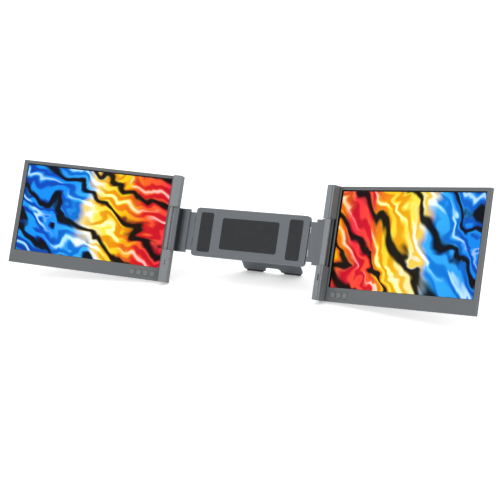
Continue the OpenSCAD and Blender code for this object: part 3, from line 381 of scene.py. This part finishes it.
def circuit_board():
    """Green solder mask over copper tracks about a millimetre apart."""
    material = finish(
        "solder_mask_on_glass_epoxy", tint="#1d5a3b", edge_tint="#b9a56a", grain_mm=0.4,
        grain_depth_mm=0.004, drift_mm=10, gloss=(0.28, 0.4))
    tree = material.node_tree
    shader = tree.nodes["Principled BSDF"]
    wear_and_shade_mix = shader.inputs["Base Color"].links[0].from_socket
    place = add(tree, "ShaderNodeTexCoord").outputs["Object"]
    # The bricks only mask the tracks, so their greys are plain amounts.
    tracks = add(tree, "ShaderNodeTexBrick", {
        "Vector": place, "Color1": (0, 0, 0, 1), "Color2": (0.2, 0.2, 0.2, 1),
        "Mortar": (1, 1, 1, 1), "Scale": 1 / (TRACK_MM * MM), "Mortar Size": TRACK_WIDTH,
        "Brick Width": 4, "Row Height": 1})
    mixed = add(tree, "ShaderNodeMix", {
        0: tracks.outputs["Color"], COLOUR_A: wear_and_shade_mix, COLOUR_B: linear("#2f7a52")}, data_type="RGBA")
    tree.links.new(mixed.outputs[MIXED_COLOUR], shader.inputs["Base Color"])
    return material


FINISHES["circuit_board"] = circuit_board()
print(len(FINISHES), "finishes with the boards")


# %% [markdown]
# ### The lit picture
# A screen that is switched on gives off light of its own, so its colours go to the shader's
# emission. The wallpaper is a made-up design of folded silk. Noise drapes the cloth, a wide wave
# texture cuts the black creases between the folds, and a finer one lays the small folds. Two colour
# ramps run along the picture, one for the crowns of the folds and one for their depths. The sheet's
# own UV map carries it all, so the picture stays put when the monitor folds.

# %% Picture design
# A fold's height runs from 0 in its crease to 1 on its crown. Over each of these spans, one effect
# fades in: light out of the wide creases, the crowns' colour on the small folds, and a sheen where
# the crowns of a wide and a small fold meet.
CREASE_SPAN = (0.03, 0.26)
SMALL_FOLD_SPAN = (0.1, 0.8)
WIDE_CROWN_SPAN = (0.75, 1.0)
SMALL_CROWN_SPAN = (0.6, 1.0)
# How much light is left in the bottom of a wide crease, and how much the sheen adds.
CREASE_LIGHT = 0.01
CROWN_LIGHT = 0.5
# Where the colours start and end along the draped picture, in picture heights.
COLOUR_SPAN = (0.38, 2.15)
DRAPE_PUSH = 0.8


def folds(tree, place, scale, bend, turn_deg):
    """Soft parallel folds, as in hanging cloth: 0 in the creases and 1 on the crowns."""
    turned = add(tree, "ShaderNodeMapping", {
        "Vector": place, "Rotation": (0, 0, math.radians(turn_deg))}).outputs[0]
    return add(tree, "ShaderNodeTexWave", {
        "Vector": turned, "Scale": scale, "Distortion": bend, "Detail": 2, "Detail Scale": 1.3,
        "Detail Roughness": 0.4}, wave_type="BANDS", bands_direction="X").outputs["Fac"]


def colours_along(tree, value, stops):
    """The colours along the picture, from (place, hex colour) stops."""
    node = add(tree, "ShaderNodeValToRGB", {0: value})
    ramp = node.color_ramp
    while len(ramp.elements) < len(stops):
        ramp.elements.new(0.5)
    for element, (where, colour) in zip(ramp.elements, stops):
        element.position = where
        element.color = linear(colour)
    return node.outputs["Color"]


def silk_picture(name, turn_deg, stops, seed):
    """Folded silk. stops are (place along the picture, colour on the crowns, colour in the folds)."""
    material = bpy.data.materials.new(name)
    material.use_nodes = True
    tree = material.node_tree
    shader = tree.nodes["Principled BSDF"]
    place = add(tree, "ShaderNodeUVMap", uv_map="picture").outputs[0]
    moved = add(tree, "ShaderNodeMapping", {
        "Vector": place, "Location": (seed, seed * 0.37, 0)}).outputs[0]
    drape = add(tree, "ShaderNodeTexNoise", {
        "Vector": moved, "Scale": 1.9, "Detail": 2.5, "Roughness": 0.5, "Distortion": 0.7})
    push = add(tree, "ShaderNodeVectorMath", {
        0: drape.outputs["Color"], 1: (DRAPE_PUSH, DRAPE_PUSH, 0)}, operation="MULTIPLY").outputs[0]
    bent = add(tree, "ShaderNodeVectorMath", {0: place, 1: push}, operation="ADD").outputs[0]
    along = add(tree, "ShaderNodeMapRange", {
        "Value": add(tree, "ShaderNodeSeparateXYZ", {0: bent}).outputs[0],
        "From Min": COLOUR_SPAN[0], "From Max": COLOUR_SPAN[1]}).outputs[0]
    light = colours_along(tree, along, [(where, crown) for where, crown, _ in stops])
    deep = colours_along(tree, along, [(where, fold) for where, _, fold in stops])
    wide = folds(tree, bent, scale=0.85, bend=3.2, turn_deg=turn_deg)
    small = folds(tree, bent, scale=2.4, bend=4.5, turn_deg=turn_deg + 14)
    shares = [add(tree, "ShaderNodeMapRange", {
        "Value": fold, "From Min": low, "From Max": high, "To Min": dark, "To Max": bright},
        interpolation_type="SMOOTHSTEP").outputs[0]
        for fold, (low, high), dark, bright in (
            (small, SMALL_FOLD_SPAN, 0, 1), (wide, CREASE_SPAN, CREASE_LIGHT, 1),
            (wide, WIDE_CROWN_SPAN, 0, CROWN_LIGHT), (small, SMALL_CROWN_SPAN, 0, 1))]
    small_fold, crease, wide_crown, small_crown = shares
    silk = add(tree, "ShaderNodeMix", {
        0: small_fold, COLOUR_A: deep, COLOUR_B: light}, data_type="RGBA").outputs[MIXED_COLOUR]
    shaded = add(tree, "ShaderNodeVectorMath", {0: silk, 1: crease}, operation="MULTIPLY").outputs[0]
    crown = add(tree, "ShaderNodeMath", {
        0: wide_crown, 1: small_crown}, operation="MULTIPLY").outputs[0]
    lit = add(tree, "ShaderNodeVectorMath", {0: shaded, 1: crown}, operation="ADD").outputs[0]
    tree.links.new(lit, shader.inputs["Emission Color"])
    shader.inputs["Emission Strength"].default_value = 1.0
    shader.inputs["Base Color"].default_value = linear("#020203")
    shader.inputs["Roughness"].default_value = 0.3
    shader.inputs["Specular IOR Level"].default_value = 0.08
    return material


PICTURES = {
    "left": silk_picture("lit_panel_left", 62, [
        (0.0, "#ff2a44", "#c80024"), (0.16, "#ff6a1e", "#e01820"), (0.27, "#ffd400", "#f58a00"),
        (0.44, "#ffef52", "#f0a800"), (0.53, "#fffdf2", "#ffe27a"), (0.6, "#37b6ff", "#0078e0"),
        (0.78, "#0a92ff", "#0050c8"), (1.0, "#12a0ff", "#003fae")], 0.0),
    "right": silk_picture("lit_panel_right", -48, [
        (0.0, "#ffb400", "#f07800"), (0.12, "#ff2a44", "#cc0028"), (0.26, "#ff5a2a", "#e0142a"),
        (0.36, "#ffd400", "#f79400"), (0.54, "#ffee4a", "#f3b000"), (0.66, "#fffbe0", "#ffd84a"),
        (0.72, "#34b4ff", "#0084e8"), (1.0, "#0a8cf5", "#0048bc")], 3.7),
}
print(len(PICTURES), "lit pictures")


# %% [markdown]
# ### Cover glass
# The glass runs on under the frame, and its rim is printed black on the inside. Anti-glare glass is
# etched, so it mirrors the room softly. Dust and wiping leave it a little uneven.

# %% Printed rim finish
WIPE_MM = 45


def printed_glass():
    """Black ink behind etched glass, with faint wipe marks in the gloss."""
    material = bpy.data.materials.new("etched_glass_black_print")
    material.use_nodes = True
    tree = material.node_tree
    shader = tree.nodes["Principled BSDF"]
    place = add(tree, "ShaderNodeTexCoord").outputs["Object"]
    wipes = add(tree, "ShaderNodeTexNoise", {
        "Vector": place, "Scale": 1 / (WIPE_MM * MM), "Detail": 5, "Roughness": 0.6,
        "Distortion": 0.8})
    rough = add(tree, "ShaderNodeMapRange", {
        "Value": wipes.outputs[0], "To Min": 0.16, "To Max": 0.28})
    tint = add(tree, "ShaderNodeMix", {
        0: wipes.outputs[0], COLOUR_A: linear("#040506"), COLOUR_B: linear("#0a0b0d")},
        data_type="RGBA")
    tree.links.new(tint.outputs[MIXED_COLOUR], shader.inputs["Base Color"])
    tree.links.new(rough.outputs[0], shader.inputs["Roughness"])
    shader.inputs["Specular IOR Level"].default_value = 0.12
    shader.inputs["IOR"].default_value = 1.52
    return material


RIM = printed_glass()
print("rim finish", RIM.name)

# %% [markdown]
# ## Screens
# The screen is one sheet: a chamfered plate with a printed rim and a lit field. It is modelled as a
# closed plate whose front is divided in two, so that each field gets its own finish, and the lit
# field gets a UV map measured in picture heights. A texture with a mask could draw the rim on the
# frame's own plate, but real edges between the two fields stay sharp at any distance. The new plate
# stands for the plain one in the frame.

# %% Outline of a screen plate
LIT_MM = (309.4, 174.0)
# From the plate's lowest inner corner to the lit field's, along X and Z.
LIT_START_MM = (6.5, 2.8)
CHAMFER_MM = 0.25
CORNER_MM = 1.0


def outline(low, high, y, cut):
    """Eight points round a rectangle whose corners are cut, in X and Z."""
    x0, z0, x1, z1 = low.x, low.z, high.x, high.z
    flat = [(x0 + cut, z0), (x1 - cut, z0), (x1, z0 + cut), (x1, z1 - cut),
            (x1 - cut, z1), (x0 + cut, z1), (x0, z1 - cut), (x0, z0 + cut)]
    return [Vector((x, y, z)) for x, z in flat]


def plate_shell(mesh, low, high):
    """The plate's back and sides in a mesh. Returns the eight points round its open front."""
    cut, ease = CORNER_MM * MM, Vector((CHAMFER_MM * MM, 0, CHAMFER_MM * MM))
    outlines = [
        outline(low + ease, high - ease, high.y, cut),
        outline(low, high, high.y - ease.x, cut),
        outline(low, high, low.y + ease.x, cut),
        outline(low + ease, high - ease, low.y, cut),
    ]
    rows = [[mesh.verts.new(point) for point in points] for points in outlines]
    count = len(rows[0])
    mesh.faces.new(rows[0])
    for lower, upper in zip(rows, rows[1:]):
        for i in range(count):
            j = (i + 1) % count
            mesh.faces.new((lower[i], lower[j], upper[j], upper[i]))
    return rows[-1]


print("lit field in mm", LIT_MM)


# %% Screen plates
# The rim's finish comes first in each plate's slots, and the picture's second.
PICTURE_SLOT = 1


def lit_front(mesh, front, low):
    """Closes the front with a rim and a lit field, which gets its UV map and its own slot."""
    lit_low = low + Vector((LIT_START_MM[0] * MM, 0, LIT_START_MM[1] * MM))
    lit_high = lit_low + Vector((LIT_MM[0] * MM, 0, LIT_MM[1] * MM))
    corners = [(lit_low.x, lit_low.z), (lit_high.x, lit_low.z),
               (lit_high.x, lit_high.z), (lit_low.x, lit_high.z)]
    inner = [mesh.verts.new((x, low.y, z)) for x, z in corners]
    for k, corner in enumerate(inner):
        following = inner[(k + 1) % len(inner)]
        a, b, c = front[2 * k], front[2 * k + 1], front[(2 * k + 2) % len(front)]
        mesh.faces.new((a, b, following, corner))
        mesh.faces.new((b, c, following))
    lit = mesh.faces.new(inner)
    lit.material_index = PICTURE_SLOT
    uv = mesh.loops.layers.uv["picture"]
    height = lit_high.z - lit_low.z
    for loop in lit.loops:
        loop[uv].uv = ((loop.vert.co.x - lit_low.x) / height, (loop.vert.co.z - lit_low.z) / height)


def screen_plate(side):
    """The cover glass with its lit field, in the place of the frame's plate."""
    low, high = GLASS[side]
    mesh = bmesh.new()
    mesh.loops.layers.uv.new("picture")
    lit_front(mesh, plate_shell(mesh, low, high), low)
    bmesh.ops.recalc_face_normals(mesh, faces=mesh.faces)
    mesh.transform(AXES[side])
    # The left monitor's axes mirror the right one's, which turns its faces inside out.
    if AXES[side].determinant() < 0:
        bmesh.ops.recalc_face_normals(mesh, faces=mesh.faces)
    data = bpy.data.meshes.new(side + "_screen")
    mesh.to_mesh(data)
    mesh.free()
    data.materials.append(RIM)
    data.materials.append(PICTURES[side])
    plate = bpy.data.objects.new(side + "_screen", data)
    bpy.context.collection.objects.link(plate)
    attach(plate, side + "_monitor")
    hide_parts(side + "_screen_glass")
    # A real screen is dim next to studio lights, so its glow doesn't tint the frame round it.
    plate.visible_diffuse = False
    return plate


for side in SIDES:
    plate = screen_plate(side)
    print(plate.name, len(plate.data.polygons), "faces")

# %% [markdown]
# ## Rubber ribs, and lips and seals of painted shade
# The object has small silicone ribs on its pads. This notebook adds dark silicone lips round its
# buttons and seals in its grooves as painted shade: they draw the shadow in those gaps. All of
# them are thin round beads that repeat along a line. They could be modelled one by one, but their
# number follows from a size, which is work for Geometry Nodes: a section is swept along a path,
# the bead is instanced at even steps, and the instances are realized.

# %% Bead tree
RING_POINTS = 64
SECTION_POINTS = 12


def bead_tree(name, closed):
    """A Geometry Nodes tree: round beads, straight or closed in a ring, repeated along a line."""
    tree = bpy.data.node_groups.new(name, "GeometryNodeTree")
    sockets = (("Count", "NodeSocketInt"), ("Offset", "NodeSocketVector"),
               ("Size", "NodeSocketFloat"), ("Radius", "NodeSocketFloat"),
               ("Finish", "NodeSocketMaterial"))
    for socket, kind in sockets:
        tree.interface.new_socket(socket, in_out="INPUT", socket_type=kind)
    tree.interface.new_socket("Beads", in_out="OUTPUT", socket_type="NodeSocketGeometry")
    given = add(tree, "NodeGroupInput").outputs
    line = add(tree, "GeometryNodeMeshLine", {
        "Count": given["Count"], "Offset": given["Offset"]}, mode="OFFSET")
    if closed:
        path = add(tree, "GeometryNodeCurvePrimitiveCircle", {
            "Resolution": RING_POINTS, "Radius": given["Size"]})
    else:
        ends = [add(tree, "ShaderNodeMath", {0: given["Size"], 1: share}, operation="MULTIPLY")
                for share in (-0.5, 0.5)]
        start, end = [add(tree, "ShaderNodeCombineXYZ", {0: x.outputs[0]}) for x in ends]
        path = add(tree, "GeometryNodeCurvePrimitiveLine", {
            "Start": start.outputs[0], "End": end.outputs[0]})
    section = add(tree, "GeometryNodeCurvePrimitiveCircle", {
        "Resolution": SECTION_POINTS, "Radius": given["Radius"]})
    bead = add(tree, "GeometryNodeCurveToMesh", {
        "Curve": path.outputs[0], "Profile Curve": section.outputs[0], "Fill Caps": True})
    placed = add(tree, "GeometryNodeInstanceOnPoints", {
        "Points": line.outputs[0], "Instance": bead.outputs[0]})
    real = add(tree, "GeometryNodeRealizeInstances", {0: placed.outputs[0]})
    painted = add(tree, "GeometryNodeSetMaterial", {
        0: real.outputs[0], "Material": given["Finish"]})
    add(tree, "NodeGroupOutput", {0: painted.outputs[0]})
    return tree


BARS = bead_tree("straight_beads", closed=False)
RINGS = bead_tree("ring_beads", closed=True)
print(BARS.name, "has", len(BARS.nodes), "nodes,", RINGS.name, "has", len(RINGS.nodes))


# %% [markdown]
# ### From a tree to a piece
# A tree only shows its beads while its modifier is live, and the finished part has to hold plain
# meshes. So `grow` runs the tree on an empty carrier, keeps the mesh and drops the carrier. `join`
# makes one object of several such meshes and lets it ride on its body.

# %% Grow and join the beads
def grow(tree, count, offset, size, radius, place):
    """Runs a bead tree with sizes in metres and returns its mesh, moved to its place."""
    carrier = bpy.data.objects.new("carrier", bpy.data.meshes.new("carrier"))
    bpy.context.collection.objects.link(carrier)
    modifier = carrier.modifiers.new("beads", "NODES")
    modifier.node_group = tree
    ids = {item.name: item.identifier for item in tree.interface.items_tree if item.in_out == "INPUT"}
    values = {"Count": count, "Offset": offset, "Size": size, "Radius": radius,
              "Finish": FINISHES["silicone"]}
    for name, value in values.items():
        modifier[ids[name]] = value
    depsgraph = bpy.context.evaluated_depsgraph_get()
    mesh = bpy.data.meshes.new_from_object(carrier.evaluated_get(depsgraph))
    carrier.modifiers.remove(modifier)
    bpy.data.objects.remove(carrier)
    mesh.transform(place)
    return mesh


def join(name, meshes, body):
    """One silicone object made of several meshes, riding on a body."""
    whole = bmesh.new()
    for mesh in meshes:
        whole.from_mesh(mesh)
    bmesh.ops.recalc_face_normals(whole, faces=whole.faces)
    data = bpy.data.meshes.new(name)
    whole.to_mesh(data)
    whole.free()
    # Realized instances keep an empty first slot, so the finish is given again as the only one.
    data.materials.append(FINISHES["silicone"])
    for face in data.polygons:
        face.material_index = 0
    piece = bpy.data.objects.new(name, data)
    bpy.context.collection.objects.link(piece)
    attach(piece, body)
    print(piece.name, len(data.polygons), "faces")
    return piece


# %% [markdown]
# ### Ribs on the lid pads
# Silicone pads that hold a laptop's lid are moulded with low ribs, so that they grip without
# marking it. Each rib is a bead sunk into its pad until only the crown shows. The pads share one
# node, so their outlines are read from its faces first.

# %% Ribs on the lid pads
RIB_STEP_MM = 4.0
RIB_MARGIN_MM = 4.0
RIB_RADIUS_MM = 0.6
RIB_PROUD_MM = 0.2
# Faces less than this far apart along X belong to one pad.
PAD_SPLIT_MM = 1
up = Vector(JOINTS["left_monitor_hinge"]["axis"]).normalized()
across = Vector((1, 0, 0))
away = up.cross(across)
SEAT_AXES = Matrix((across, away, up)).transposed().to_4x4()


def pad_spans(node):
    """Each pad of a node as its lowest and highest corner in the seat's axes, from left to right."""
    to_seat = SEAT_AXES.inverted()
    mesh = NODES[node].data
    faces = []
    for face in mesh.polygons:
        points = [to_seat @ mesh.vertices[i].co for i in face.vertices]
        faces.append([Vector([pick(p[i] for p in points) for i in range(3)]) for pick in (min, max)])
    spans = []
    for low, high in sorted(faces, key=lambda face: face[0].x):
        if spans and low.x < spans[-1][1].x + PAD_SPLIT_MM * MM:
            for i in range(3):
                spans[-1][0][i] = min(spans[-1][0][i], low[i])
                spans[-1][1][i] = max(spans[-1][1][i], high[i])
        else:
            spans.append([low, high])
    return spans


def pad_ribs(low, high):
    """Ribs for one pad, sunk into it so that only their crowns show."""
    step, margin = RIB_STEP_MM * MM, RIB_MARGIN_MM * MM
    count = int((high.z - low.z - 2 * margin) / step) + 1
    start = Vector(((low.x + high.x) / 2, low.y + (RIB_RADIUS_MM - RIB_PROUD_MM) * MM,
                    (low.z + high.z - (count - 1) * step) / 2))
    return grow(BARS, count, (0, 0, step), high.x - low.x - 2 * margin, RIB_RADIUS_MM * MM,
                SEAT_AXES @ Matrix.Translation(start))


join("lid_pad_ribs", [pad_ribs(*span) for span in pad_spans("lid_pads")], "bracket")

# %% [markdown]
# ### Dark lips of painted shade round the buttons
# A dark silicone lip lies in the gap round each button cap. It is painted shade: it draws the soft,
# dark shadow in that gap. It is a bead closed in a ring, whose middle lies just below the monitor's
# face. A row of buttons has even steps, so one tree makes the whole row.

# %% Dark lips of painted shade round the buttons
CAP_RADIUS_MM = 5.7
# Each lip is a dark ring of painted shade, laid in the gap round a button cap.
SHADE_LIP_RADIUS_MM = 0.27
# From the cap to the middle of the gap, and from the monitor's face down to the lip's middle.
SHADE_LIP_GAP_MM = 0.3
SHADE_LIP_DEPTH_MM = 0.2
FACE_TO_GLASS_MM = 1.7
LYING = Matrix.Rotation(math.radians(90), 4, "X")


def face_of(side):
    """The height of a monitor's front face along its Y axis."""
    return GLASS[side][0].y - FACE_TO_GLASS_MM * MM


def button_shade_lips(side):
    """One dark ring of painted shade in the gap round each button of a monitor."""
    spans = [reach(name, AXES[side]) for name in sorted(NODES) if name.startswith(side + "_button_")]
    centres = [(low + high) / 2 for low, high in spans]
    ring_radius = (CAP_RADIUS_MM + SHADE_LIP_GAP_MM) * MM
    start = Vector((centres[0].x, face_of(side) + SHADE_LIP_DEPTH_MM * MM, centres[0].z))
    return grow(RINGS, len(spans), (centres[1].x - centres[0].x, 0, 0), ring_radius,
                SHADE_LIP_RADIUS_MM * MM, AXES[side] @ Matrix.Translation(start) @ LYING)


for side in SIDES:
    join(side + "_button_lips", [button_shade_lips(side)], side + "_monitor")

# %% [markdown]
# ### Black seals of painted shade in the grooves
# Beside each spine runs a narrow groove in the bezel, and the right spine's cap has one more.
# A black seal in them is painted shade: it draws the thin dark line of shadow in the groove, which
# the eye takes for the joint of two shells. A dark stripe in the plastic's material would do from
# the front, but a bead in a real groove also looks right from the side. The cap is cut in two by the
# notch for the hinge, so its groove gets a bead above the notch and one below.

# %% Black seals of painted shade in the grooves
UPRIGHT = Matrix.Rotation(math.radians(-90), 4, "Y")
# Across the monitor, from the hinge pin to each seal's middle.
BEZEL_GROOVE_MM = 5.05
CAP_GROOVE_MM = 1.1
# Radius of each seal, and the depth of its middle below the face that it lies in.
BEZEL_SHADE_SEAL_MM = 0.8
BEZEL_SHADE_SEAL_DEPTH_MM = 0.25
CAP_SHADE_SEAL_MM = 0.5
CAP_SHADE_SEAL_DEPTH_MM = 0.35
# The notch's lower and upper end, from the monitor's bottom edge.
NOTCH_MM = (62.6, 148.0)
SHADE_SEAL_END_MM = 1.1


def shade_seal(side, x_mm, y, span, radius_mm):
    """A black bead of painted shade standing along a monitor's Z axis, from span's lower to its upper end."""
    low, high = span[0] + SHADE_SEAL_END_MM * MM, span[1] - SHADE_SEAL_END_MM * MM
    start = Vector((x_mm * MM, y, (low + high) / 2))
    return grow(BARS, 1, (0, 0, 0), high - low, radius_mm * MM,
                AXES[side] @ Matrix.Translation(start) @ UPRIGHT)


# Each black seal is painted shade, laid in its groove.
for side in SIDES:
    bottom, top = (corner.z for corner in reach(side + "_bezel", AXES[side]))
    bezel_y = face_of(side) + BEZEL_SHADE_SEAL_DEPTH_MM * MM
    shade_seals = [shade_seal(side, BEZEL_GROOVE_MM, bezel_y, (bottom, top), BEZEL_SHADE_SEAL_MM)]
    if side == "right":
        cap_y = reach(side + "_spine_cap", AXES[side])[0].y + CAP_SHADE_SEAL_DEPTH_MM * MM
        for span in ((bottom, bottom + NOTCH_MM[0] * MM), (bottom + NOTCH_MM[1] * MM, top)):
            shade_seals.append(shade_seal(side, CAP_GROOVE_MM, cap_y, span, CAP_SHADE_SEAL_MM))
    join(side + "_spine_seals", shade_seals, side + "_monitor")

# %% [markdown]
# ## Dress the frame
# Every other solid of the frame keeps its shape, because the shape is right, and gets the finish of
# its material slot. The slot's name comes with the frame, so no list of pieces is kept here.

# %% Give each node its finish
SLOTS = {part["node"]: part["material_slot"] for part in frame["record"]["subparts"]}
dressed = [name for name in NODES if SLOTS[name] != "screen"]
for name in dressed:
    for slot in NODES[name].material_slots:
        slot.material = FINISHES[SLOTS[name]]
print(len({SLOTS[name] for name in dressed}), "finishes on", len(dressed), "nodes")

# %% [markdown]
# ### Nothing left bare
# A face whose slot is empty renders plain white, which is easy to miss on small pieces. A look at
# each face's slot number finds it at once.

# %% Check that nothing is left bare
def bare_faces(thing):
    """Faces of an object whose material slot is missing or empty."""
    slots = thing.data.materials
    return [face for face in thing.data.polygons
            if face.material_index >= len(slots) or slots[face.material_index] is None]


bare = {thing.name: len(bare_faces(thing)) for thing in bpy.data.objects
        if thing.type == "MESH" and not thing.hide_render and bare_faces(thing)}
assert not bare, bare
print("every visible face has a finish")
